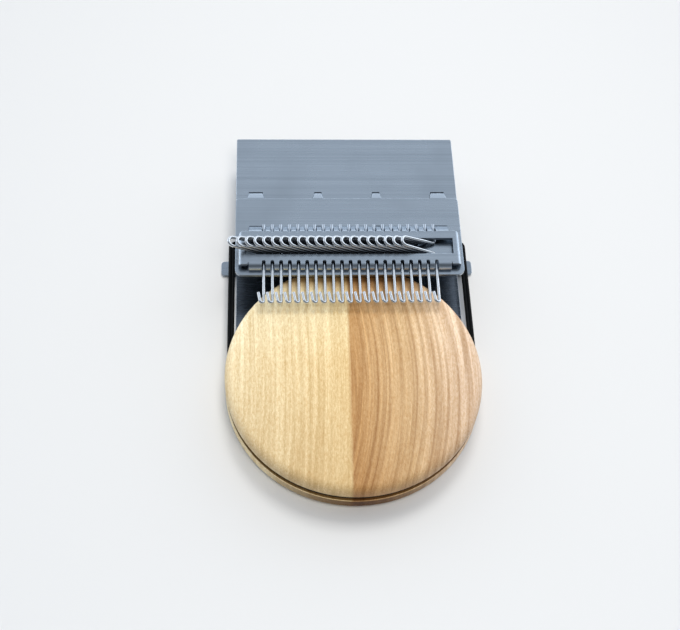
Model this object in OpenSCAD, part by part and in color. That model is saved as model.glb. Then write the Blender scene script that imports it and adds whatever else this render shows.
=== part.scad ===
// Darning loom: a wooden disc held by an elastic loop against a bent steel frame,
// with a row of wire crank hooks that turn between a bed plate and a notched cover.
// The origin is under the disc's axis, on the face that the loom stands on.
// X runs along the row of hooks, Y from the disc to the back plate, and Z is up.

/* [Disc] */
// Diameter of the wooden disc
disc_d = 75; // [70:0.5:82]
// Thickness of the disc
disc_t = 11; // [9:0.5:14]
// Width of the groove round the rim
groove_w = 2.6; // [1.8:0.1:3.4]
// Depth of the groove
groove_depth = 2.8; // [2.4:0.1:4]
// Rounding of the disc's upper edge
disc_top_r = 2.5; // [0.5:0.1:2.8]
// Rounding of the disc's lower edge
disc_bottom_r = 1; // [0.4:0.1:2]
// Rounding of the two edges beside the groove
groove_edge_r = 0.4; // [0.2:0.1:0.8]
// Gap under the disc, where it slides on the base plate
disc_seat_gap = 0.05; // [0.02:0.01:0.2]

/* [Frame] */
// Thickness of the sheet that the plates are cut from
sheet_t = 1; // [0.8:0.1:1.2]
// Width of the frame and the hook bed
plate_w = 69.4; // [68:0.2:76]
// Space for cloth between the disc and the hook bed
fabric_gap = 1.45; // [1:0.05:3]
// Space between the disc's rim and the wall
wall_gap = 8.3; // [7:0.1:12]
// Inner radius of the frame's bends
bend_r = 0.5; // [0.3:0.1:1]
// Reach of the base plate in front of the disc's axis
base_reach = 15; // [8:1:22]
// Corner radius at the front of the base plate
base_corner_r = 10; // [4:1:14]
// Length of the back plate behind the wall
back_l = 37.5; // [30:0.5:50]
// Corner radius at the rear of the back plate
back_corner_r = 0.6; // [0.3:0.1:3]
// Distance that each ear stands out from the base plate
ear_out = 4.8; // [3.5:0.1:7]
// Length of an ear along the plate's side
ear_l = 5.1; // [3:0.1:8]
// Corner radius of an ear
ear_corner_r = 1; // [0.4:0.1:1.4]

/* [Hook bed] */
// Reach of the hook bed in front of the wall
bed_reach = 14.3; // [14:0.1:17]
// Length of the hook bed that lies on the back plate
bed_seat_l = 13.2; // [8:0.1:20]
// Corner radius at the front of the hook bed
bed_front_r = 2.2; // [0.5:0.1:4]
// Corner radius at the rear of the hook bed
bed_rear_r = 1.2; // [0.3:0.1:3]
// Distance of the inner tabs from the middle, counted in hook pitches
inner_tab_pitches = 3.5; // [2.5:1:6.5]
// Width of the outer tabs of the bed at their ends
bed_tab_w = 4.1; // [2:0.1:5]
// Width of the inner tabs of the bed at their ends
bed_inner_tab_w = 2.1; // [1.2:0.1:4]
// Extra width of a bed tab at its root, on each side
tab_flare = 0.6; // [0:0.1:1]
// Run of a bed tab from the bed's edge to where it turns down through its slot
tab_run = 2.4; // [2.2:0.1:4]
// Fall of a bed tab over that run
tab_fall = 0.6; // [0.4:0.1:0.8]
// Length of a bed tab's tongue under the back plate
tongue_l = 1.6; // [0.8:0.1:3]
// Inner radius of the tab and cover bends
small_bend_r = 0.3; // [0.2:0.1:0.5]
// Gap between a tab and its slot
tab_gap = 0.15; // [0.05:0.01:0.2]

/* [Hooks] */
// Number of hooks
hook_count = 21; // [9:2:21]
// Distance between neighbouring hooks
hook_pitch = 2.61; // [2.55:0.01:2.62]
// Diameter of the hook wire
wire_d = 0.9; // [0.7:0.05:1]
// Least angle above level at which the handles lie, set by the wires that lie on each other
lay_angle = 24; // [23:1:40]
// Length of a handle from the turning axis to its end
handle_l = 11.9; // [9:0.1:14]
// Distance between a handle's two legs at the turning axis
handle_root_w = 3.8; // [3.2:0.05:3.9]
// Radius of a handle's round end, at the wire's centre
handle_end_r = 1.55; // [0.9:0.05:1.8]
// Bend radius where a handle meets the shank, at the wire's centre
handle_bend_r = 0.9; // [0.6:0.1:1]
// Reach of the hooks in front of the hook bed
hook_reach = 10.6; // [7:0.1:12]
// Length of a hook's tip, back from its front end
hook_tip_l = 3.2; // [2:0.1:4]
// Radius of a hook's round front end, at the wire's centre
hook_bend_r = 0.6; // [0.55:0.05:0.7]
// Distance from the shank to the tip's end
hook_tip_w = 1.75; // [1.5:0.05:1.9]
// Distance that the rear wire ends stand out of the cover
wire_end = 0.9; // [0.2:0.1:1.4]
// Gap above and below the wire between the bed and the cover
wire_gap = 0.15; // [0.05:0.005:0.2]
// Gap beside the wire in a notch
notch_gap = 0.125; // [0.05:0.005:0.15]

/* [Hook cover] */
// Width of the cover
cover_w = 67.6; // [66:0.1:69]
// Distance from the cover's ends to the ends of its front wall and its rear comb
corner_relief = 3.2; // [2.6:0.1:3.2]
// Distance from the front wall back to the cover's front corners
corner_setback = 1.2; // [0.8:0.1:2]
// Gap between the ends of the front bend and the cover's front corners
corner_gap = 0.3; // [0.2:0.05:0.6]
// Distance from the bed's front edge back to the cover's front wall
cover_setback = 1.3; // [0.6:0.1:2]
// Length of the cover from its front wall to its rear bend
cover_l = 13.3; // [13:0.1:14]
// Inner radius of the bend between the cover's top and its front wall
front_bend_r = 0.8; // [0.3:0.1:0.9]
// Slope of the rear comb
comb_slope = 36; // [32:1:50]
// Corner radius at the rear of the cover
cover_rear_r = 1.5; // [0.5:0.1:2]
// Corner radius at the front of the cover
cover_front_r = 0.8; // [0.3:0.1:1.2]
// Distance from the front wall to the window
window_front = 4.9; // [4.4:0.1:5.2]
// Length of the window along the hooks
window_l = 5.6; // [5.4:0.1:6]
// Width of the cover's rim beside each end of the window
window_rim = 2.2; // [1.6:0.1:2.6]
// Length of a front notch on the top of the cover
front_notch_l = 2.6; // [1.5:0.1:3]
// Length of a rear notch on the top of the cover
rear_notch_l = 0.4; // [0:0.1:0.8]
// Width of the cover's outer tabs
cover_tab_w = 3.8; // [2:0.1:3.8]
// Width of the cover's inner tabs
cover_inner_tab_w = 1.3; // [0.8:0.1:1.3]
// Distance from the comb's ends to its outer tabs
tab_inset = 0.1; // [0:0.05:0.1]

/* [Elastic band] */
// Diameter of one of the two strands of the band
strand_d = 1.1; // [0.9:0.05:1.4]
// Distance between the strands' centres
strand_pitch = 0.95; // [0.7:0.05:0.95]
// Gap between the band and the disc's groove, and between the band and the frame
band_gap = 0.3; // [0.15:0.05:0.5]
// Inner radius of the band where it turns round the wall
band_corner_r = 0.4; // [0.35:0.05:0.8]

/* [Hidden] */
$fn = 48;
// Length of cuts that go right through, and how far a corner's waste reaches past the corner
cut = 20;
waste_margin = 1;
// Largest angle of one flat in a bend of the sheet
bend_step = 10;
// A bend of a wire or strand is a hair thicker than the straights, which run a little way into it
bend_swell = 0.01;
bend_overlap = 0.05;
disc_r = disc_d / 2;
disc_z = sheet_t + disc_seat_gap;
groove_z = disc_z + disc_t / 2;
flange_t = (disc_t - groove_w) / 2;

frame_h = disc_z + disc_t + fabric_gap;
wall_y = disc_r + wall_gap;
wall_rear = wall_y + sheet_t;
back_end = wall_rear + back_l;
ear_rear = wall_y - bend_r;

bed_top = frame_h + sheet_t;
bed_front = wall_y - bed_reach;
bed_rear = wall_rear + bed_seat_l;
comb_w = cover_w - 2 * corner_relief;
tab_x = (comb_w - cover_tab_w) / 2 - tab_inset;
inner_tab_x = inner_tab_pitches * hook_pitch;
small_bend = small_bend_r + sheet_t / 2;
tab_slope = atan2(tab_fall, tab_run);
tab_setback = small_bend * tan(tab_slope / 2);
tab_turn_z = frame_h + sheet_t / 2 - tab_fall;
// The tongue clears the back plate and leaves room for the tab's two bends above it
tab_bends = small_bend * (tan(45 - tab_slope / 2) + tan(45));
tongue_z = min(frame_h - 1.5 * sheet_t - tab_gap, tab_turn_z - tab_bends);
slot_front = bed_rear - tab_setback - tab_gap;
slot_y = bed_rear + tab_run;
slot_rear = slot_y + sheet_t / 2 + tab_gap;

channel_h = wire_d + 2 * wire_gap;
axis_z = bed_top + channel_h / 2;
cover_front = bed_front + cover_setback;
cover_rear = cover_front + cover_l;
cover_mid_z = bed_top + channel_h + sheet_t / 2;
corner_front = cover_front + corner_setback;
window_y = cover_front + window_front;
window_w = cover_w - 2 * window_rim;
notch_w = wire_d + 2 * notch_gap;
// The comb's sheet measured level, where its two faces meet the bed, and where wires leave it
comb_level_t = sheet_t / sin(comb_slope);
comb_foot = cover_rear + (cover_mid_z - bed_top) / tan(comb_slope) - comb_level_t / 2;
comb_heel = comb_foot + comb_level_t;
comb_exit = cover_rear + (cover_mid_z - axis_z) / tan(comb_slope) + comb_level_t / 2;

row_w = (hook_count - 1) * hook_pitch;
handle_y = window_y + window_l / 2;
hook_front = bed_front - hook_reach + wire_d / 2;
// The outermost handle also clears the cover's rim at the end of the window
rim_edge = [(window_w - row_w) / 2, cover_mid_z + sheet_t / 2 - axis_z];
rim_angle = atan2(rim_edge.y, rim_edge.x) + asin((wire_d / 2 + wire_gap) / norm(rim_edge));
rest_angle = max(lay_angle, rim_angle);
// The handle's legs run from the axis as tangents of its round end and would meet at an apex
handle_end = [handle_l - wire_d / 2 - handle_end_r, handle_root_w / 2];
handle_taper = acos(handle_end_r / norm(handle_end)) - atan2(handle_end.x, handle_end.y);
handle_apex = handle_root_w / 2 / tan(handle_taper);
// The tip leaves the hook's round front end as a tangent, which would meet the shank at an apex
tip_end = [hook_tip_w - hook_bend_r, hook_tip_l - hook_bend_r];
tip_flare = acos(hook_bend_r / norm(tip_end)) - atan2(tip_end.y, tip_end.x);
hook_apex = hook_front + hook_bend_r - hook_bend_r * (1 + cos(tip_flare)) / sin(tip_flare);

band_w = strand_d + strand_pitch;
band_r = disc_r - groove_depth + band_gap + band_w / 2;
band_turn_r = band_corner_r + band_w / 2;
band_turn_x = plate_w / 2 + band_gap - band_corner_r;
band_turn_y = wall_rear + band_gap - band_corner_r;
// Angle at the disc's axis from the wall's corner to the line where the band leaves the disc
band_spread = acos((band_r - band_turn_r) / norm([band_turn_x, band_turn_y]));
band_lean = atan2(band_turn_y, band_turn_x) - band_spread;

function hook_name(i) = str("hook_", i < 9 ? "0" : "", i + 1);
function hook_x(i) = i * hook_pitch - row_w / 2;

// A bent path is a list of corner points and a bend radius for each
function leg(p, i) = (p[i + 1] - p[i]) / norm(p[i + 1] - p[i]);
function heading(p, i) = atan2(leg(p, i).y, leg(p, i).x);
function left(p, i) = [-leg(p, i).y, leg(p, i).x];
function turn(p, i) = let (a = leg(p, i - 1), b = leg(p, i)) atan2(a.x * b.y - a.y * b.x, a * b);
function side(p, i) = sign(turn(p, i));
function inner(p, i) = i > 0 && i < len(p) - 1;
function setback(p, r, i) = inner(p, i) ? r[i] * tan(abs(turn(p, i)) / 2) : 0;
function bend_start(p, r, i) = p[i] - leg(p, i - 1) * setback(p, r, i);
function bend_centre(p, r, i) = bend_start(p, r, i) + side(p, i) * r[i] * left(p, i - 1);
function bend_from(p, i) = heading(p, i - 1) - side(p, i) * 90;

// Points along one bend and along a whole path, offset to the left of the path
function bend_points(p, r, i, off) =
    let (steps = ceil(abs(turn(p, i)) / bend_step))
    [for (k = [0 : steps])
        let (a = bend_from(p, i) + turn(p, i) * k / steps)
        bend_centre(p, r, i) + (r[i] - side(p, i) * off) * [cos(a), sin(a)]];
function side_points(p, r, off) = concat(
    [p[0] + off * left(p, 0)],
    [for (i = [1 : len(p) - 2]) each bend_points(p, r, i, off)],
    [p[len(p) - 1] + off * left(p, len(p) - 2)]
);
function reversed(list) = [for (i = [len(list) - 1 : -1 : 0]) list[i]];

// A sheet bent along a path, as wide as w across it
module bent_strip(p, r, w) {
    linear_extrude(w, center = true)
        polygon(concat(side_points(p, r, sheet_t / 2), reversed(side_points(p, r, -sheet_t / 2))));
}

// The same along a path of Y and Z points, with its width along X
module bent_sheet(p, r, w) {
    rotate([90, 0, 90])
        bent_strip(p, r, w);
}

// A round wire bent along a path in the XY plane
module bent_wire(p, r) {
    for (i = [0 : len(p) - 2]) {
        run_in = inner(p, i) ? bend_overlap : 0;
        run_out = inner(p, i + 1) ? bend_overlap : 0;
        start = setback(p, r, i) - run_in;
        translate(p[i] + leg(p, i) * start)
            rotate([0, 90, heading(p, i)])
                cylinder(d = wire_d, h = norm(p[i + 1] - p[i]) - setback(p, r, i + 1) + run_out - start);
    }
    for (i = [1 : len(p) - 2])
        translate(bend_centre(p, r, i))
            rotate(bend_from(p, i) + min(turn(p, i), 0))
                rotate_extrude(angle = abs(turn(p, i)))
                    translate([r[i], 0])
                        circle(d = wire_d + bend_swell);
}

// The waste outside a rounded corner at the origin, for a plate on the +X +Y side
module corner_waste(r) {
    difference() {
        translate([-waste_margin, -waste_margin])
            square(r + waste_margin);
        translate([r, r])
            circle(r);
    }
}

// The waste at both ends of one edge of a plate, for an edge at y that faces along dir
module edge_waste(w, y, dir, r) {
    for (side = [0, 1])
        mirror([side, 0])
            translate([w / 2, y])
                mirror([1, 0])
                    mirror([0, dir > 0 ? 1 : 0])
                        corner_waste(r);
}

// Half of a disc flange as a profile, with its own rounding above and below
module flange_profile(z, r_above, r_below) {
    difference() {
        translate([0, z])
            square([disc_r, flange_t]);
        translate([disc_r, z])
            mirror([1, 0])
                corner_waste(r_below);
        translate([disc_r, z + flange_t])
            mirror([1, 0])
                mirror([0, 1])
                    corner_waste(r_above);
    }
}

// Outline of a bed tab, narrowing from its root to its end, grown by gap all round
module tab_outline(w, gap, rear) {
    polygon([
        [-w / 2 - tab_flare - gap, slot_front],
        [w / 2 + tab_flare + gap, slot_front],
        [w / 2 + gap, slot_y],
        [w / 2 + gap, rear],
        [-w / 2 - gap, rear],
        [-w / 2 - gap, slot_y]
    ]);
}

// Places a child at the four tabs, with w set for the outer and the inner ones
module at_tabs(outer_w, inner_w) {
    for (side = [-1, 1]) {
        translate([side * tab_x, 0, 0]) {
            $tab_w = outer_w;
            children();
        }
        translate([side * inner_tab_x, 0, 0]) {
            $tab_w = inner_w;
            children();
        }
    }
}

// Base plate, wall and back plate, bent from one sheet, with an ear on each side
module frame() {
    bend = bend_r + sheet_t / 2;
    mid_wall = wall_y + sheet_t / 2;
    path = [
        [-base_reach, sheet_t / 2],
        [mid_wall, sheet_t / 2],
        [mid_wall, frame_h - sheet_t / 2],
        [back_end, frame_h - sheet_t / 2]
    ];
    color("silver") {
        difference() {
            bent_sheet(path, [0, bend, bend, 0], plate_w);
            translate([0, 0, -cut / 2])
                linear_extrude(2 * cut) {
                    edge_waste(plate_w, -base_reach, -1, base_corner_r);
                    edge_waste(plate_w, back_end, 1, back_corner_r);
                }
            at_tabs(bed_tab_w, bed_inner_tab_w)
                translate([0, 0, frame_h - cut / 2])
                    linear_extrude(cut)
                        tab_outline($tab_w, tab_gap, slot_rear);
        }
        for (side = [0, 1])
            mirror([side, 0, 0])
                ear();
    }
}

// Flat ear beside the wall that keeps the elastic from slipping down
module ear() {
    linear_extrude(sheet_t)
        difference() {
            translate([plate_w / 2, ear_rear - ear_l])
                square([ear_out, ear_l]);
            translate([plate_w / 2 + ear_out, ear_rear - ear_l])
                mirror([1, 0])
                    corner_waste(ear_corner_r);
            translate([plate_w / 2 + ear_out, ear_rear])
                mirror([1, 0])
                    mirror([0, 1])
                        corner_waste(ear_corner_r);
        }
}

// Plate under the hooks, with four tabs that pass through the back plate and hook under it
module hook_bed() {
    tab_path = [
        [bed_rear - tab_setback, frame_h + sheet_t / 2],
        [bed_rear, frame_h + sheet_t / 2],
        [slot_y, tab_turn_z],
        [slot_y, tongue_z],
        [slot_rear + tongue_l, tongue_z]
    ];
    color("lightslategray") {
        difference() {
            translate([0, 0, frame_h])
                linear_extrude(sheet_t)
                    difference() {
                        translate([-plate_w / 2, bed_front])
                            square([plate_w, bed_rear - tab_setback - bed_front]);
                        edge_waste(plate_w, bed_front, -1, bed_front_r);
                        edge_waste(plate_w, bed_rear - tab_setback, 1, bed_rear_r);
                    }
            at_tabs(cover_tab_w, cover_inner_tab_w)
                cover_slot();
        }
        at_tabs(bed_tab_w, bed_inner_tab_w)
            intersection() {
                bent_sheet(tab_path, [0, small_bend, small_bend, small_bend, 0], $tab_w + 2 * tab_flare);
                translate([0, 0, frame_h - cut / 2])
                    linear_extrude(cut)
                        tab_outline($tab_w, 0, slot_rear + cut);
            }
    }
}

// Slot in the hook bed for one tab of the cover
module cover_slot() {
    translate([-$tab_w / 2 - tab_gap, comb_foot - tab_gap, frame_h - cut / 2])
        cube([$tab_w + 2 * tab_gap, comb_level_t + 2 * tab_gap, cut]);
}

// Pressed cover over the hooks: front comb, window, sloping rear comb and two side walls
module hook_cover() {
    color("gainsboro")
        difference() {
            union() {
                cover_combs();
                cover_sides();
                at_tabs(cover_tab_w, cover_inner_tab_w)
                    cover_tab();
            }
            translate([-window_w / 2, window_y, bed_top])
                cube([window_w, window_l, cut]);
            for (i = [0 : hook_count - 1])
                translate([hook_x(i), 0, bed_top - sheet_t]) {
                    notch(cover_front - cut, cover_front + front_notch_l - notch_w / 2);
                    notch(cover_rear + cut, cover_rear - rear_notch_l + notch_w / 2);
                }
        }
}

// Front wall, top and rear comb of the cover, with the comb's feet cut level on the bed
module cover_combs() {
    path = [
        [cover_front + sheet_t / 2, bed_top],
        [cover_front + sheet_t / 2, cover_mid_z],
        [cover_rear, cover_mid_z],
        [cover_rear + (cover_mid_z - frame_h) / tan(comb_slope), frame_h]
    ];
    difference() {
        bent_sheet(path, [0, front_bend_r + sheet_t / 2, small_bend, 0], comb_w);
        translate([-cover_w / 2, cover_rear, bed_top - cut])
            cube([cover_w, cut, cut]);
    }
}

// One tab of the rear comb, which turns down into the bed where the comb meets it
module cover_tab() {
    tab_y = comb_heel - sheet_t / 2;
    path = [
        [cover_rear + small_bend, cover_mid_z - small_bend * tan(comb_slope)],
        [tab_y, cover_mid_z - (tab_y - cover_rear) * tan(comb_slope)],
        [tab_y, frame_h + tab_gap]
    ];
    bent_sheet(path, [0, small_bend, 0], $tab_w);
}

// Side walls of the cover and the top between them, with rounded corners
module cover_sides() {
    side_x = (cover_w - sheet_t) / 2;
    side_l = cover_rear - corner_front;
    front_bend_l = front_bend_r + sheet_t;
    path = [
        [-side_x, bed_top],
        [-side_x, cover_mid_z],
        [side_x, cover_mid_z],
        [side_x, bed_top]
    ];
    difference() {
        translate([0, corner_front + side_l / 2, 0])
            rotate([90, 0, 0])
                bent_strip(path, [0, small_bend, small_bend, 0], side_l);
        translate([-comb_w / 2 - corner_gap, cover_front, bed_top])
            cube([comb_w + 2 * corner_gap, front_bend_l, cut]);
        translate([0, 0, bed_top - waste_margin])
            linear_extrude(cut) {
                edge_waste(cover_w, cover_rear, 1, cover_rear_r);
                edge_waste(cover_w, corner_front, -1, cover_front_r);
            }
    }
}

// Slot with a round end, open towards from
module notch(from, end) {
    translate([-notch_w / 2, min(from, end), 0])
        cube([notch_w, abs(end - from), cut]);
    translate([0, end, 0])
        cylinder(d = notch_w, h = cut);
}

// Turned wooden disc with a groove round its rim
module darning_disc() {
    color("burlywood")
        rotate_extrude() {
            flange_profile(disc_z, groove_edge_r, disc_bottom_r);
            flange_profile(disc_z + disc_t - flange_t, disc_top_r, groove_edge_r);
            translate([0, disc_z])
                square([disc_r - groove_depth, disc_t]);
        }
}

// Section of the elastic band, with its two strands side by side
module band_section(swell) {
    for (side = [-1, 1])
        translate([side * strand_pitch / 2, 0])
            circle(d = strand_d + swell);
}

// Elastic loop of two strands, from the disc's groove round the back of the wall
module elastic_band() {
    side_l = norm([band_turn_x, band_turn_y]) * sin(band_spread);
    color("black")
        translate([0, 0, groove_z]) {
            rotate(180 - band_lean)
                rotate_extrude(angle = 180 + 2 * band_lean)
                    translate([band_r, 0])
                        band_section(bend_swell);
            for (side = [0, 1])
                mirror([side, 0, 0]) {
                    rotate(band_lean)
                        translate([band_r, -bend_overlap, 0])
                            rotate([-90, 0, 0])
                                linear_extrude(side_l + 2 * bend_overlap)
                                    band_section(0);
                    translate([band_turn_x, band_turn_y, 0])
                        rotate(band_lean)
                            rotate_extrude(angle = 90 - band_lean)
                                translate([band_turn_r, 0])
                                    band_section(bend_swell);
                }
            translate([-band_turn_x - bend_overlap, band_turn_y + band_turn_r, 0])
                rotate([90, 0, 90])
                    linear_extrude(2 * (band_turn_x + bend_overlap))
                        band_section(0);
        }
}

// Hook number i: one wire bent to a rear journal, a hairpin handle, a shank and a hooked tip
module hook(i) {
    path = [
        [0, comb_exit + wire_end],
        [0, handle_y + handle_root_w / 2],
        [-handle_apex, handle_y],
        [0, handle_y - handle_root_w / 2],
        [0, hook_apex],
        [-hook_tip_w, hook_front + hook_tip_l]
    ];
    color("whitesmoke")
        translate([hook_x(i), 0, axis_z])
            rotate([0, rest_angle, 0])
                bent_wire(path, [0, handle_bend_r, handle_end_r, handle_bend_r, hook_bend_r, 0]);
}

frame();
hook_bed();
hook_cover();
darning_disc();
elastic_band();
for (i = [0 : hook_count - 1])
    hook(i);
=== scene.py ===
import math

import bpy
from mathutils import Matrix, Vector


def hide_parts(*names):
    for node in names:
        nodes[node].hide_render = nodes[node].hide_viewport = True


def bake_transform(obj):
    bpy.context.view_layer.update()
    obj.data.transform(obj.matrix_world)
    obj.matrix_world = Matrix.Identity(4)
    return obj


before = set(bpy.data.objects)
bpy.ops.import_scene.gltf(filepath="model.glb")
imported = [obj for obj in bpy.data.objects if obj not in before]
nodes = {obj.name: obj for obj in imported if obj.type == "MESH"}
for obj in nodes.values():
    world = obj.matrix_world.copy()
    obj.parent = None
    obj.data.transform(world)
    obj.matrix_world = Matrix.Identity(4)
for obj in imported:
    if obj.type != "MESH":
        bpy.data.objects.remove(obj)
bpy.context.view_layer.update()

hookNames = sorted(name for name in nodes if name.removeprefix("hook_").isdigit())
mm = 0.001
print("frame loaded:", len(nodes), "nodes,", len(hookNames), "hooks")


# Small helpers for the node editor

def newMaterial(name):
    material = bpy.data.materials.new(name)
    material.use_nodes = True
    tree = material.node_tree
    return material, tree, tree.nodes["Principled BSDF"]


def addNode(tree, kind, inputs=None, **settings):
    node = tree.nodes.new(kind)
    for key, value in settings.items():
        setattr(node, key, value)
    for key, value in (inputs or {}).items():
        if isinstance(value, bpy.types.NodeSocket):
            tree.links.new(value, node.inputs[key])
        else:
            node.inputs[key].default_value = value
    return node


def calc(tree, operation, first, second=0.0):
    return addNode(tree, "ShaderNodeMath", {0: first, 1: second}, operation=operation).outputs[0]


def fade(tree, value, span, result=(0.0, 1.0)):
    # goes from the first result to the second as the value crosses the span
    limits = {"From Min": span[0], "From Max": span[1], "To Min": result[0], "To Max": result[1]}
    return addNode(tree, "ShaderNodeMapRange", {"Value": value, **limits}).outputs["Result"]


def mixColour(tree, factor, first, second, blend="MIX"):
    sockets = {"Factor": factor, 6: first, 7: second}
    return addNode(tree, "ShaderNodeMix", sockets, data_type="RGBA", blend_type=blend).outputs[2]


def tinted(tree, factor, colour, tint):
    return mixColour(tree, factor, colour, mixColour(tree, 1.0, colour, tint, "MULTIPLY"))


def ramp(tree, factor, stops):
    node = addNode(tree, "ShaderNodeValToRGB", {"Fac": factor})
    elements = node.color_ramp.elements
    while len(elements) < len(stops):
        elements.new(0.5)
    for element, (place, colour) in zip(elements, stops):
        element.position = place
        element.color = colour
    return node.outputs["Color"]


def fromScreen(red, green, blue):
    # a colour as a screen shows it, 0 to 255, made linear
    def linear(value):
        value = value / 255
        return value / 12.92 if value <= 0.04045 else ((value + 0.055) / 1.055) ** 2.4
    return (linear(red), linear(green), linear(blue), 1)


def stretched(tree, vector, scale):
    return addNode(tree, "ShaderNodeMapping", {"Vector": vector, "Scale": scale}).outputs["Vector"]


def noise(tree, vector, detail, roughness, scale=1.0):
    sockets = {"Vector": vector, "Scale": scale, "Detail": detail, "Roughness": roughness}
    return addNode(tree, "ShaderNodeTexNoise", sockets).outputs["Fac"]


def bumped(tree, shader, strength, depth, height, normal=None):
    bump = addNode(tree, "ShaderNodeBump", {"Strength": strength, "Distance": depth, "Height": height})
    if normal:
        tree.links.new(normal, bump.inputs["Normal"])
    tree.links.new(bump.outputs["Normal"], shader.inputs["Normal"])


def newGroup(name, inputs, outputs):
    group = bpy.data.node_groups.new(name, "ShaderNodeTree")
    for label in inputs:
        kind = "NodeSocketVector" if label == "Vector" else "NodeSocketFloat"
        group.interface.new_socket(name=label, in_out="INPUT", socket_type=kind)
    for label in outputs:
        group.interface.new_socket(name=label, in_out="OUTPUT", socket_type="NodeSocketFloat")
    return group, group.nodes.new("NodeGroupInput").outputs, group.nodes.new("NodeGroupOutput").inputs


def useGroup(tree, group, inputs):
    return addNode(tree, "ShaderNodeGroup", inputs, node_tree=group).outputs


# Streaks that run along X, for sheet and wire

streakShape = dict(
    fineDetail=3.0, fineRough=0.6, broadDetail=4.0, broadRough=0.65, broadStretch=(0.6, 0.3, 0.3))


def makeStreaks(shape):
    group, given, result = newGroup("brushedStreaks", ["Vector", "Along", "Across"], ["Fine", "Broad"])
    scale = addNode(group, "ShaderNodeCombineXYZ", {
        "X": given["Along"], "Y": given["Across"], "Z": given["Across"]}).outputs[0]
    fineVector = addNode(
        group, "ShaderNodeVectorMath", {0: given["Vector"], 1: scale}, operation="MULTIPLY").outputs[0]
    broadVector = stretched(group, fineVector, shape["broadStretch"])
    fine = noise(group, fineVector, shape["fineDetail"], shape["fineRough"])
    broad = noise(group, broadVector, shape["broadDetail"], shape["broadRough"])
    group.links.new(fine, result["Fine"])
    group.links.new(broad, result["Broad"])
    return group


# Handling marks: soft smudges and a few specks of dust

marksShape = dict(smudgeScale=45.0, smudgeDetail=3.0, smudgeRough=0.55)


def makeMarks(shape):
    group, given, result = newGroup(
        "handlingMarks", ["Vector", "Speck Scale", "Speck Size", "Speck Share"], ["Smudge", "Specks"])
    smudge = noise(
        group, given["Vector"], shape["smudgeDetail"], shape["smudgeRough"], shape["smudgeScale"])
    cells = addNode(
        group, "ShaderNodeTexVoronoi", {"Vector": given["Vector"], "Scale": given["Speck Scale"]}).outputs
    chance = addNode(group, "ShaderNodeSeparateColor", {"Color": cells["Color"]}).outputs["Red"]
    near = calc(group, "LESS_THAN", cells["Distance"], given["Speck Size"])
    picked = calc(group, "GREATER_THAN", chance, given["Speck Share"])
    group.links.new(smudge, result["Smudge"])
    group.links.new(calc(group, "MULTIPLY", near, picked), result["Specks"])
    return group


streaksGroup = makeStreaks(streakShape)
marksGroup = makeMarks(marksShape)


# Brushed steel sheet

sheetLook = dict(
    along=14.0, across=4600.0,
    tone=(0.480, 0.540, 0.605, 1), darkTone=(0.372, 0.425, 0.482, 1), toneSpan=(0.25, 0.75),
    rough=(0.22, 0.28), roughSpan=(0.25, 0.75), grainStrength=0.03, grainDepth=0.004 * mm,
    dust=(0.70, 0.74, 0.78, 1), speckScale=160.0, speckSize=0.06, speckShare=0.93,
    smudgeSpan=(0.45, 0.75), smudgeShade=(1.0, 0.88), smearSpan=(0.4, 0.8), smearRough=(0.0, 0.1),
    baseShadeTone=(0.42, 0.43, 0.45, 1), baseShadeSpan=(3.5 * mm, 1.5 * mm), baseSide=36.0 * mm, earShadeShare=0.37,
    edgeRadius=0.25 * mm, edgeSamples=8)


def makeSheetSteel(name, look, shift):
    material, tree, shader = newMaterial(name)
    spot = addNode(tree, "ShaderNodeTexCoord").outputs["Object"]
    place = addNode(tree, "ShaderNodeMapping", {"Vector": spot, "Location": shift}).outputs["Vector"]
    streaks = useGroup(tree, streaksGroup, {
        "Vector": place, "Along": look["along"], "Across": look["across"]})
    marks = useGroup(tree, marksGroup, {
        "Vector": place, "Speck Scale": look["speckScale"], "Speck Size": look["speckSize"],
        "Speck Share": look["speckShare"]})
    broad = fade(tree, streaks["Broad"], look["toneSpan"])
    tone = mixColour(tree, broad, look["darkTone"], look["tone"])
    smudged = fade(tree, marks["Smudge"], look["smudgeSpan"], look["smudgeShade"])
    shade = addNode(tree, "ShaderNodeCombineColor", {"Red": smudged, "Green": smudged, "Blue": smudged})
    tone = mixColour(tree, 1.0, tone, shade.outputs[0], "MULTIPLY")
    tone = mixColour(tree, marks["Specks"], tone, look["dust"])
    # painted shade: the base plate is darkened low down, and its ears less so
    parts = addNode(tree, "ShaderNodeSeparateXYZ", {"Vector": spot}).outputs
    paintedShade = fade(tree, parts["Z"], look["baseShadeSpan"])
    inside = calc(tree, "LESS_THAN", calc(tree, "ABSOLUTE", parts["X"]), look["baseSide"])
    share = fade(tree, inside, (0.0, 1.0), (look["earShadeShare"], 1.0))
    tone = tinted(tree, calc(tree, "MULTIPLY", paintedShade, share), tone, look["baseShadeTone"])
    tree.links.new(tone, shader.inputs["Base Color"])
    rough = fade(tree, streaks["Fine"], look["roughSpan"], look["rough"])
    smear = fade(tree, marks["Smudge"], look["smearSpan"], look["smearRough"])
    tree.links.new(calc(tree, "ADD", rough, smear), shader.inputs["Roughness"])
    worn = addNode(tree, "ShaderNodeBevel", {"Radius": look["edgeRadius"]}, samples=look["edgeSamples"])
    bumped(tree, shader, look["grainStrength"], look["grainDepth"], streaks["Fine"], worn.outputs["Normal"])
    shader.inputs["Metallic"].default_value = 1.0
    return material


# Bright drawn wire

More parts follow.
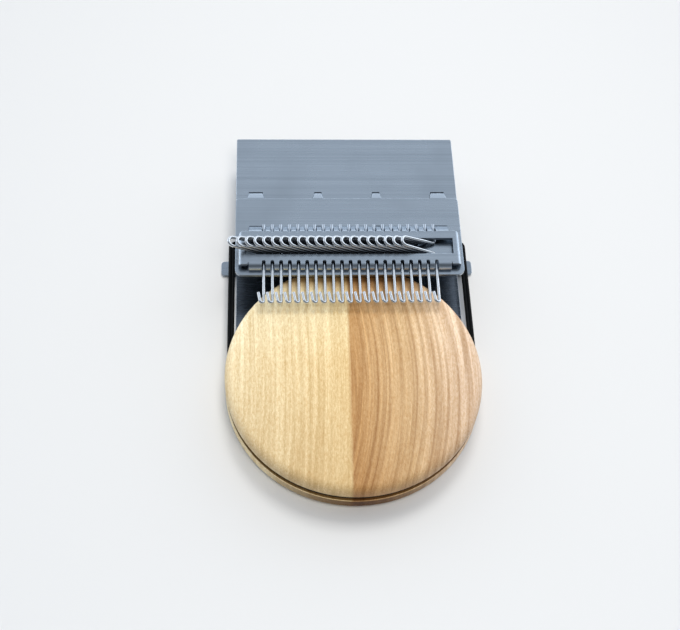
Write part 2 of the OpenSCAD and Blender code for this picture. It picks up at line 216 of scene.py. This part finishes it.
wireLook = dict(
    along=90.0, across=5200.0,
    tone=(0.69, 0.71, 0.73, 1), darkTone=(0.63, 0.65, 0.67, 1), toneSpan=(0.3, 0.7),
    rough=(0.12, 0.18), roughSpan=(0.25, 0.75),
    notchShadeTone=(0.44, 0.48, 0.53, 1), notchShadeSpan=(44.5 * mm, 46.0 * mm),
    rootShadeTone=(0.10, 0.11, 0.125, 1), rootShadeSpan=(19.2 * mm, 17.0 * mm),
    windowFront=35.0 * mm, windowRear=44.0 * mm)


def makeWireSteel(name, look, unshaded):
    material, tree, shader = newMaterial(name)
    place = addNode(tree, "ShaderNodeTexCoord").outputs["Object"]
    turned = addNode(tree, "ShaderNodeMapping", {"Vector": place, "Rotation": (0, 0, math.pi / 2)})
    streaks = useGroup(tree, streaksGroup, {
        "Vector": turned.outputs["Vector"], "Along": look["along"], "Across": look["across"]})
    broad = fade(tree, streaks["Broad"], look["toneSpan"])
    tone = mixColour(tree, broad, look["darkTone"], look["tone"])
    # painted shade: the wires are darkened from where they go into the cover's rear notches to their rear
    # ends
    parts = addNode(tree, "ShaderNodeSeparateXYZ", {"Vector": place}).outputs
    paintedShade = fade(tree, parts["Y"], look["notchShadeSpan"])
    tone = mixColour(tree, paintedShade, tone, look["notchShadeTone"])
    if not unshaded:
        # painted shade: handles that lie under the next one are darkened towards their roots
        rootShadeMask = fade(tree, parts["Z"], look["rootShadeSpan"])
        rootShadeMask = calc(tree, "MULTIPLY", rootShadeMask, calc(tree, "GREATER_THAN", parts["Y"], look["windowFront"]))
        rootShadeMask = calc(tree, "MULTIPLY", rootShadeMask, calc(tree, "LESS_THAN", parts["Y"], look["windowRear"]))
        tone = mixColour(tree, rootShadeMask, tone, look["rootShadeTone"])
    tree.links.new(tone, shader.inputs["Base Color"])
    rough = fade(tree, streaks["Fine"], look["roughSpan"], look["rough"])
    tree.links.new(rough, shader.inputs["Roughness"])
    shader.inputs["Metallic"].default_value = 1.0
    return material


# Wood with its grain along Y, sizes in millimetres: broad streaks, thin ring lines and short dashes

grainShape = dict(
    streakStretch=(0.75, 0.014, 0.15), streakDetail=4.0, streakRough=0.65,
    ringDrift=0.007, ringDetail=2.0, ringRough=0.5, ringLevel=0.5, lineHalf=0.045,
    dashStretch=(3.2, 0.9, 3.2), dashDetail=3.0, dashRough=0.75)


def makeGrain(shape):
    group, given, result = newGroup(
        "woodGrain", ["Vector", "Bow", "Ring Width"], ["Streak", "Line", "Dash"])
    place = given["Vector"]
    parts = addNode(group, "ShaderNodeSeparateXYZ", {"Vector": place}).outputs
    bowed = calc(group, "MULTIPLY", calc(group, "MULTIPLY", parts["Y"], parts["Y"]), given["Bow"])
    across = calc(group, "ADD", parts["X"], bowed)
    bent = addNode(
        group, "ShaderNodeCombineXYZ", {"X": across, "Y": parts["Y"], "Z": parts["Z"]}).outputs[0]
    streakPlace = stretched(group, bent, shape["streakStretch"])
    streak = noise(group, streakPlace, shape["streakDetail"], shape["streakRough"])
    # a ring shows as a line where a slow noise passes its middle level
    rings = calc(group, "DIVIDE", across, given["Ring Width"])
    drift = calc(group, "MULTIPLY", parts["Y"], shape["ringDrift"])
    ringPlace = addNode(group, "ShaderNodeCombineXYZ", {"X": rings, "Y": drift}).outputs[0]
    level = noise(group, ringPlace, shape["ringDetail"], shape["ringRough"])
    offRing = calc(group, "ABSOLUTE", calc(group, "SUBTRACT", level, shape["ringLevel"]))
    line = fade(group, offRing, (0.0, shape["lineHalf"]), (1.0, 0.0))
    dash = noise(
        group, stretched(group, place, shape["dashStretch"]), shape["dashDetail"], shape["dashRough"])
    for label, value in (("Streak", streak), ("Line", line), ("Dash", dash)):
        group.links.new(value, result[label])
    return group


grainGroup = makeGrain(grainShape)


# Pale wood of two boards, glued near the middle, sizes in millimetres

woodLook = dict(
    left=dict(
        stops=[(0.1, fromScreen(253, 238, 197)), (1.0, fromScreen(252, 229, 177))],
        bow=0.0012, ringWidth=2.6, dark=(0.76, 0.68, 0.56, 1),
        streakSpan=(0.66, 0.32), streakShare=0.95, lineShare=0.2),
    right=dict(
        stops=[(0.05, fromScreen(221, 178, 121)), (0.42, fromScreen(242, 211, 163)),
               (0.9, fromScreen(253, 230, 203))],
        bow=0.0042, ringWidth=3.4, dark=(0.58, 0.49, 0.40, 1),
        streakSpan=(0.68, 0.32), streakShare=0.85, lineShare=0.35),
    glueLine=-1.3, glueLean=-0.012, glueBlur=0.5, rim=37.5,
    paleTone=(1.04, 1.12, 1.24, 1), paleSpan=(4.0, 24.0),
    dashDark=(0.82, 0.70, 0.55, 1), dashLight=(1.12, 1.19, 1.33, 1), dashSpan=(0.28, 0.72),
    frontTone=(0.725, 0.67, 0.61, 1), frontSpan=(18.0, -34.0),
    rearShadowTone=(0.33, 0.25, 0.17, 1), rearShadowSpan=(26.5, 31.0),
    endGrainAndShadeTone=(0.19, 0.12, 0.06, 1), endGrainSpan=(0.70, 1.0),
    grooveShadeTone=(0.30, 0.22, 0.13, 1), grooveTop=7.9, grooveFoot=5.2,
    rough=(0.62, 0.46), roughSpan=(0.3, 0.7), shine=0.35, dashStrength=0.3, dashDepth=0.04 * mm)


def boardColour(tree, place, across, board, span):
    grain = useGroup(tree, grainGroup, {
        "Vector": place, "Bow": board["bow"], "Ring Width": board["ringWidth"]})
    colour = ramp(tree, fade(tree, across, span), board["stops"])
    shade = fade(tree, grain["Streak"], board["streakSpan"], (0.0, board["streakShare"]))
    shade = calc(tree, "ADD", shade, calc(tree, "MULTIPLY", grain["Line"], board["lineShare"]))
    return tinted(tree, shade, colour, board["dark"]), grain["Dash"]


def makeDiscWood(name, look):
    material, tree, shader = newMaterial(name)
    coordinate = addNode(tree, "ShaderNodeTexCoord").outputs
    place = stretched(tree, coordinate["Object"], (1 / mm, 1 / mm, 1 / mm))
    parts = addNode(tree, "ShaderNodeSeparateXYZ", {"Vector": place}).outputs
    glue, blur, rim = look["glueLine"], look["glueBlur"], look["rim"]
    cream, dash = boardColour(tree, place, parts["X"], look["left"], (-rim, glue))
    cream = tinted(tree, fade(tree, parts["Y"], look["paleSpan"]), cream, look["paleTone"])
    tan = boardColour(tree, place, parts["X"], look["right"], (glue, rim))[0]
    side = calc(tree, "ADD", parts["X"], calc(tree, "MULTIPLY", parts["Y"], look["glueLean"]))
    colour = mixColour(tree, fade(tree, side, (glue - blur, glue + blur)), cream, tan)
    # short dashes along the grain, and a top that is darker towards its front; its rear is darkened by a
    # painted shadow of the hook bed's lip
    dashes = mixColour(tree, fade(tree, dash, look["dashSpan"]), look["dashDark"], look["dashLight"])
    colour = mixColour(tree, 1.0, colour, dashes, "MULTIPLY")
    low = calc(tree, "LESS_THAN", parts["Z"], look["grooveTop"])
    front = calc(tree, "SUBTRACT", fade(tree, parts["Y"], look["frontSpan"]), low)
    front.node.use_clamp = True
    colour = tinted(tree, front, colour, look["frontTone"])
    # painted shadow of the hook bed's lip on the rear of the top
    colour = tinted(tree, fade(tree, parts["Y"], look["rearShadowSpan"]), colour, look["rearShadowTone"])
    # the lower rim is darker where it cuts across the boards: end grain, with painted shade at its front;
    # the groove is darkened with painted shade
    facing = addNode(tree, "ShaderNodeSeparateXYZ", {"Vector": coordinate["Normal"]}).outputs["Y"]
    endGrain = fade(tree, calc(tree, "ABSOLUTE", facing), look["endGrainSpan"])
    colour = tinted(tree, calc(tree, "MULTIPLY", endGrain, low), colour, look["endGrainAndShadeTone"])
    # painted shade in the groove under the upper flange
    grooveShadeMask = calc(tree, "MULTIPLY", low, calc(tree, "GREATER_THAN", parts["Z"], look["grooveFoot"]))
    colour = tinted(tree, grooveShadeMask, colour, look["grooveShadeTone"])
    tree.links.new(colour, shader.inputs["Base Color"])
    tree.links.new(fade(tree, dash, look["roughSpan"], look["rough"]), shader.inputs["Roughness"])
    bumped(tree, shader, look["dashStrength"], look["dashDepth"], dash)
    shader.inputs["Specular IOR Level"].default_value = look["shine"]
    return material


# Black covered elastic, woven along its own length

elasticLook = dict(
    tone=(0.003, 0.0035, 0.004, 1), light=(0.010, 0.011, 0.013, 1), rough=0.75, shine=0.2,
    unevenness=0.6, detail=1.0, weaveStrength=0.5, weaveDepth=0.06 * mm)


def makeElastic(name, look):
    material, tree, shader = newMaterial(name)
    woven = addNode(tree, "ShaderNodeTexCoord").outputs["UV"]
    weave = addNode(tree, "ShaderNodeTexWave", {
        "Vector": woven, "Scale": 1.0, "Distortion": look["unevenness"], "Detail": look["detail"]},
        wave_type="BANDS", bands_direction="DIAGONAL").outputs["Fac"]
    tree.links.new(mixColour(tree, weave, look["tone"], look["light"]), shader.inputs["Base Color"])
    shader.inputs["Roughness"].default_value = look["rough"]
    shader.inputs["Specular IOR Level"].default_value = look["shine"]
    bumped(tree, shader, look["weaveStrength"], look["weaveDepth"], weave)
    return material


# Each sheet part has its own stretch of the pattern, and only the last hook's handle lies uncovered

sheetShifts = dict(frame=(0, 0, 0), hook_bed=(0.03, 0.21, 0), hook_cover=(0.05, 0.47, 0))


def dress(node, material):
    node.data.materials.clear()
    node.data.materials.append(material)


wireSteel = makeWireSteel("drawnWire", wireLook, unshaded=False)
topWireSteel = makeWireSteel("unshadedWire", wireLook, unshaded=True)
elasticBlack = makeElastic("blackElastic", elasticLook)
for name, shift in sheetShifts.items():
    dress(nodes[name], makeSheetSteel(name + "Sheet", sheetLook, shift))
for name in hookNames:
    dress(nodes[name], topWireSteel if name == hookNames[-1] else wireSteel)
dress(nodes["darning_disc"], makeDiscWood("paleBoards", woodLook))
print("materials made")


# Sheared edges of the frame's sheet are broken a little

brokenEdge = dict(
    weld=0.001 * mm, flat=math.radians(0.3), width=0.10 * mm, steps=3, limit=math.radians(40))


def softenEdges(node, edge):
    weld = node.modifiers.new("weld", "WELD")
    weld.merge_threshold = edge["weld"]
    flat = node.modifiers.new("wholeFaces", "DECIMATE")
    flat.decimate_type = "DISSOLVE"
    flat.angle_limit = edge["flat"]
    bevel = node.modifiers.new("brokenEdges", "BEVEL")
    bevel.width = edge["width"]
    bevel.segments = edge["steps"]
    bevel.limit_method = "ANGLE"
    bevel.angle_limit = edge["limit"]
    bevel.use_clamp_overlap = False
    bevel.loop_slide = False
    bevel.harden_normals = True


softenEdges(nodes["frame"], brokenEdge)
print("edges softened")


# Elastic loop: two covered strands side by side, from the disc's groove round the back of the wall

bandShape = dict(
    strand=1.1 * mm, pitch=0.95 * mm, ring=36.025 * mm, height=6.55 * mm, turn=1.425 * mm,
    wallSide=34.6 * mm, wallBack=46.7 * mm, thread=0.42 * mm, weld=0.01 * mm,
    sides=14, arcSteps=64, turnSteps=8, sideSteps=24)


def spinOn(centre, angle, steps):
    bpy.ops.mesh.spin(steps=steps, angle=angle, center=centre, axis=(0, 0, 1))


def runOn(step, count):
    for _ in range(count):
        bpy.ops.mesh.extrude_region_move(TRANSFORM_OT_translate={"value": step})


def makeStrand(name, offset, shape):
    middle = (0, 0, shape["height"])
    turnLeft = (-shape["wallSide"], shape["wallBack"], shape["height"])
    turnRight = (shape["wallSide"], shape["wallBack"], shape["height"])
    along = shape["wallBack"] / shape["sideSteps"]
    across = 2 * shape["wallSide"] / shape["sideSteps"]
    bpy.ops.object.select_all(action="DESELECT")
    bpy.ops.mesh.primitive_circle_add(
        vertices=shape["sides"], radius=shape["strand"] / 2, rotation=(math.pi / 2, 0, 0),
        location=(shape["ring"] + offset, 0, shape["height"]))
    strand = bpy.context.object
    strand.name = name
    bpy.ops.object.transform_apply(location=True, rotation=True, scale=True)
    bpy.ops.object.mode_set(mode="EDIT")
    bpy.ops.mesh.select_all(action="SELECT")
    # round the front of the disc, back on the left, behind the wall and forward on the right
    spinOn(middle, math.pi, shape["arcSteps"])
    runOn((0, along, 0), shape["sideSteps"])
    spinOn(turnLeft, math.pi / 2, shape["turnSteps"])
    runOn((across, 0, 0), shape["sideSteps"])
    spinOn(turnRight, math.pi / 2, shape["turnSteps"])
    runOn((0, -along, 0), shape["sideSteps"])
    bpy.ops.mesh.select_all(action="SELECT")
    bpy.ops.mesh.remove_doubles(threshold=shape["weld"])
    bpy.ops.mesh.normals_make_consistent(inside=False)
    bpy.ops.object.mode_set(mode="OBJECT")
    bpy.ops.object.shade_smooth()
    return strand


def placeOnBand(point, shape):
    # how far along the loop a point is, from the right of the disc, and how far out of its middle line
    x, y = point.x, point.y
    front, side, corner = math.pi * shape["ring"], shape["wallBack"], shape["turn"] * math.pi / 2
    rear = 2 * shape["wallSide"]
    if y < 0:
        return math.atan2(-y, x) * shape["ring"], math.hypot(x, y) - shape["ring"]
    if y <= side and x < 0:
        return front + y, -x - shape["ring"]
    if y <= side:
        return front + side + 2 * corner + rear + side - y, x - shape["ring"]
    if abs(x) <= shape["wallSide"]:
        return front + side + corner + x + shape["wallSide"], y - side - shape["turn"]
    past = math.atan2(y - side, abs(x) - shape["wallSide"]) * shape["turn"]
    out = math.hypot(abs(x) - shape["wallSide"], y - side) - shape["turn"]
    if x < 0:
        return front + side + past, out
    return front + side + 2 * corner + rear - past, out


def weaveMap(strand, offset, shape):
    # the woven cover runs with the strand: one step along for each thread, one turn round it
    mesh = strand.data
    curves = math.pi * (shape["ring"] + shape["turn"])
    length = curves + 2 * shape["wallBack"] + 2 * shape["wallSide"]
    layer = mesh.uv_layers.new(name="weave")
    for face in mesh.polygons:
        spots = []
        for loop in face.loop_indices:
            point = mesh.vertices[mesh.loops[loop].vertex_index].co
            run, out = placeOnBand(point, shape)
            around = math.atan2(point.z - shape["height"], out - offset) / (2 * math.pi)
            spots.append([run, around])
        # a face that crosses the seam stays in one piece
        for axis, period in ((0, length), (1, 1.0)):
            highest = max(spot[axis] for spot in spots)
            for spot in spots:
                if highest - spot[axis] > period / 2:
                    spot[axis] += period
        for loop, (run, around) in zip(face.loop_indices, spots):
            layer.data[loop].uv = (run / shape["thread"], around)


def makeBand(shape):
    strands = []
    for name, offset in (("innerStrand", -shape["pitch"] / 2), ("outerStrand", shape["pitch"] / 2)):
        strand = makeStrand(name, offset, shape)
        weaveMap(strand, offset, shape)
        strands.append(strand)
    bpy.ops.object.select_all(action="DESELECT")
    for strand in strands:
        strand.select_set(True)
    bpy.context.view_layer.objects.active = strands[0]
    bpy.ops.object.join()
    band = bpy.context.object
    band.name = "elasticLoop"
    dress(band, elasticBlack)
    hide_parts("elastic_band")
    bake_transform(band)
    print("elastic made:", len(band.data.polygons), "faces")


makeBand(bandShape)


# Camera, with its lens from the focal length in pixels

cameraView = dict(
    azimuth=-6.085, elevation=59.035, roll=4.887, distance=370.81 * mm,
    target=(-2.748 * mm, 26.075 * mm, 0), focalPixels=1200, imageWidth=680, sensor=36, clip=(0.01, 20))


def makeCamera(view):
    azimuth, elevation = math.radians(view["azimuth"]), math.radians(view["elevation"])
    back = Vector((math.sin(azimuth) * math.cos(elevation),
                   -math.cos(azimuth) * math.cos(elevation), math.sin(elevation)))
    level = Vector((math.cos(azimuth), math.sin(azimuth), 0))
    above = back.cross(level)
    roll = math.radians(view["roll"])
    right = level * math.cos(roll) + above * math.sin(roll)
    up = back.cross(right)
    data = bpy.data.cameras.new("camera")
    data.sensor_width = view["sensor"]
    data.lens = view["focalPixels"] / view["imageWidth"] * view["sensor"]
    data.clip_start, data.clip_end = view["clip"]
    camera = bpy.data.objects.new("camera", data)
    turn = Matrix((right, up, back)).transposed().to_4x4()
    camera.matrix_world = Matrix.Translation(Vector(view["target"]) + back * view["distance"]) @ turn
    bpy.context.scene.collection.objects.link(camera)
    bpy.context.scene.camera = camera
    print("camera at", [round(value / mm, 2) for value in camera.location], "mm")


# Pale floor, a hair below the base plate

floorLook = dict(size=4.0, drop=0.05 * mm, colour=(0.75, 0.755, 0.76, 1), rough=0.85)


def makeFloor(look):
    bpy.ops.object.select_all(action="DESELECT")
    bpy.ops.mesh.primitive_plane_add(size=look["size"], location=(0, 0, -look["drop"]))
    floor = bpy.context.object
    floor.name = "floor"
    material, _, shader = newMaterial("paleFloor")
    shader.inputs["Base Color"].default_value = look["colour"]
    shader.inputs["Roughness"].default_value = look["rough"]
    floor.data.materials.append(material)


# The room is bright behind the loom, most of all to the right, and pale above and at the horizon

lights = dict(
    room=(0.86, 0.94, 1.04, 1), overall=0.15, horizon=0.45, rearHorizon=1.5, horizonPower=2.0,
    above=0.30, aboveSpan=(0.92, 0.99), behind=0.57, behindSpan=(0.05, 0.30),
    rightGlow=0.62, rightSpan=(0.30, 0.60), leftGlow=0.36, leftSpan=(-0.30, -0.60),
    lampColour=(1.0, 0.96, 0.90),
    lamps=dict(
        front=dict(place=(0.05, -0.20, 0.61), size=0.26, power=1.65),
        rear=dict(place=(0.04, 0.27, 0.56), size=0.20, power=1.50)))


def makeRoom(look):
    world = bpy.data.worlds.new("softRoom")
    world.use_nodes = True
    tree = world.node_tree
    background = tree.nodes["Background"]
    background.inputs["Color"].default_value = look["room"]
    direction = addNode(tree, "ShaderNodeTexCoord").outputs["Generated"]
    parts = addNode(tree, "ShaderNodeSeparateXYZ", {"Vector": direction}).outputs
    back = fade(tree, parts["Y"], look["behindSpan"])
    right = fade(tree, parts["X"], look["rightSpan"], (0.0, look["rightGlow"]))
    left = fade(tree, parts["X"], look["leftSpan"], (0.0, look["leftGlow"]))
    above = fade(tree, parts["Z"], look["aboveSpan"], (0.0, look["above"]))
    for soft in (back, right, left, above):
        soft.node.interpolation_type = "SMOOTHSTEP"
    low = calc(tree, "SUBTRACT", 1.0, calc(tree, "MAXIMUM", parts["Z"], 0.0))
    low = calc(tree, "POWER", low, look["horizonPower"])
    lowest = calc(tree, "MULTIPLY", low, low)
    behind = calc(tree, "ADD", look["behind"], calc(tree, "ADD", right, left))
    behind = calc(tree, "ADD", behind, calc(tree, "MULTIPLY", lowest, look["rearHorizon"]))
    level = calc(tree, "ADD", above, calc(tree, "MULTIPLY", back, behind))
    level = calc(tree, "ADD", level, look["overall"])
    level = calc(tree, "ADD", level, calc(tree, "MULTIPLY", low, look["horizon"]))
    tree.links.new(level, background.inputs["Strength"])
    bpy.context.scene.world = world


def makeLamps(look):
    for name, values in look["lamps"].items():
        lamp = bpy.data.lights.new(name, "AREA")
        lamp.size = values["size"]
        lamp.energy = values["power"]
        lamp.color = look["lampColour"]
        holder = bpy.data.objects.new(name, lamp)
        holder.location = values["place"]
        holder.visible_glossy = False  # plates and wires reflect the room and not the lamp
        aim = Vector(cameraView["target"]) - holder.location
        holder.rotation_euler = aim.to_track_quat("-Z", "Y").to_euler()
        bpy.context.scene.collection.objects.link(holder)


makeCamera(cameraView)
makeFloor(floorLook)
makeRoom(lights)
makeLamps(lights)
bpy.context.scene.view_settings.view_transform = "Standard"
print("stage set")
